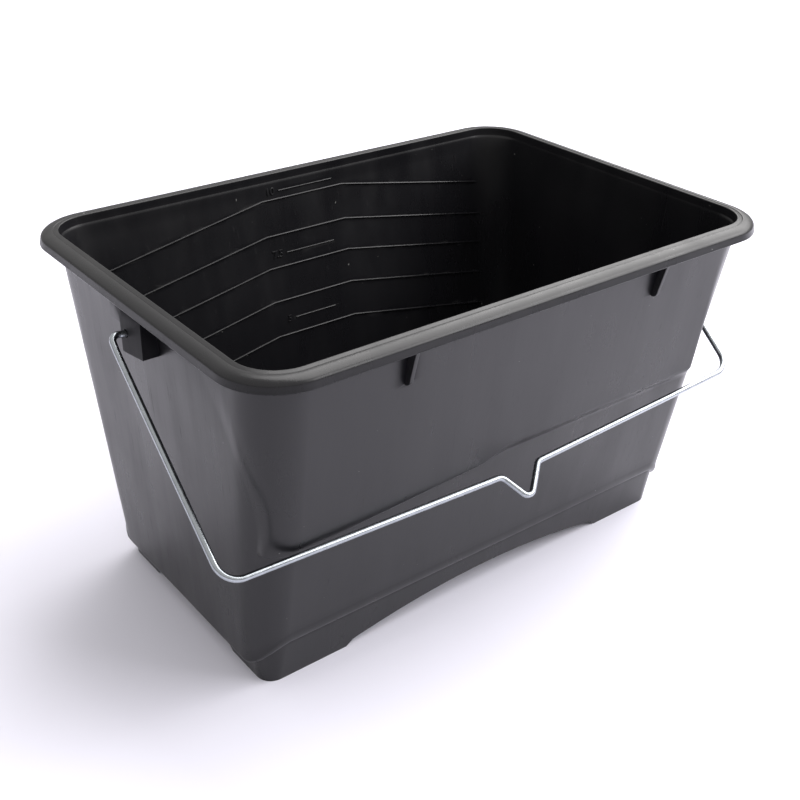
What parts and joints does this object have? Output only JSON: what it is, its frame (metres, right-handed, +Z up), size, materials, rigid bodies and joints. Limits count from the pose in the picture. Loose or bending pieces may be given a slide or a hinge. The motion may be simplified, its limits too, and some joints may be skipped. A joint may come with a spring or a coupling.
{
  "type": "bucket",
  "caption": "Rectangular moulded scuttle bucket with a ribbed back wall, litre marks, corner feet and a hanging wire bail with a hook notch.",
  "frame": {"origin": "on the floor under the middle of the tub", "axes": "+X along the long walls, +Y from the proud front wall to the ribbed back wall, +Z up"},
  "size_m": [0.3558, 0.2352, 0.199],
  "materials": {
    "tub_plastic": "satin black polypropylene",
    "bail_wire": "bright zinc plate"
  },
  "bodies": {
    "tub": {"tub": "tub_plastic"},
    "bail": {"bail": "bail_wire"}
  },
  "joints": [
    {"name": "bail_swing", "type": "hinge", "parent": "tub", "child": "bail", "pos_m": [0, 0, 0.1793], "axis": [-1, 0, 0], "range_deg": [0, 262]}
  ]
}
